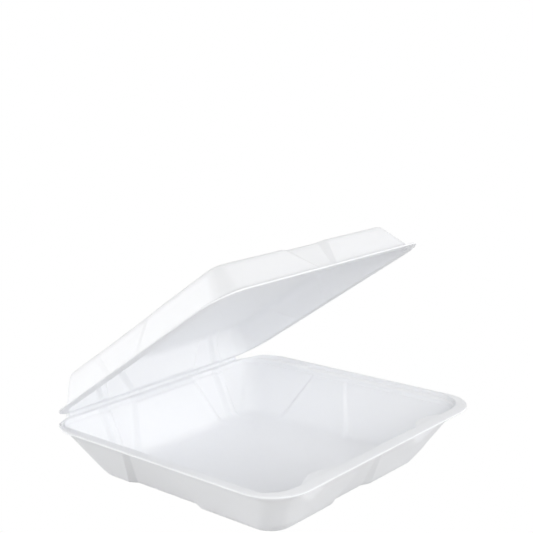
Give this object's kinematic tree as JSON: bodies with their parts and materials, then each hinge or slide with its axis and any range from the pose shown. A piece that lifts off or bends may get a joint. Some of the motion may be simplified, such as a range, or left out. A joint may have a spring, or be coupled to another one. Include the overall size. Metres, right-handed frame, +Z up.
{
  "type": "hinged foam food container",
  "caption": "Open-topped square foam food tray with sloping walls and a shallower lid on a fold along the back; nibs on the lid drop into pockets in the tray's front ledge.",
  "frame": {"origin": "centre of the flat underside that the tray stands on", "axes": "+Z up, +X along the fold between the halves, -Y towards the front where the lid opens"},
  "size_m": [0.241, 0.234, 0.1757],
  "materials": {
    "foam": "matte white foam with a smooth, slightly satin skin"
  },
  "bodies": {
    "tray": {"tray": "foam"},
    "lid": {"lid": "foam"}
  },
  "joints": [
    {"name": "lid_hinge", "type": "hinge", "parent": "tray", "child": "lid", "pos_m": [0, 0.1123, 0.04215], "axis": [-1, 0, 0], "range_deg": [-33.4, 146.6]}
  ]
}
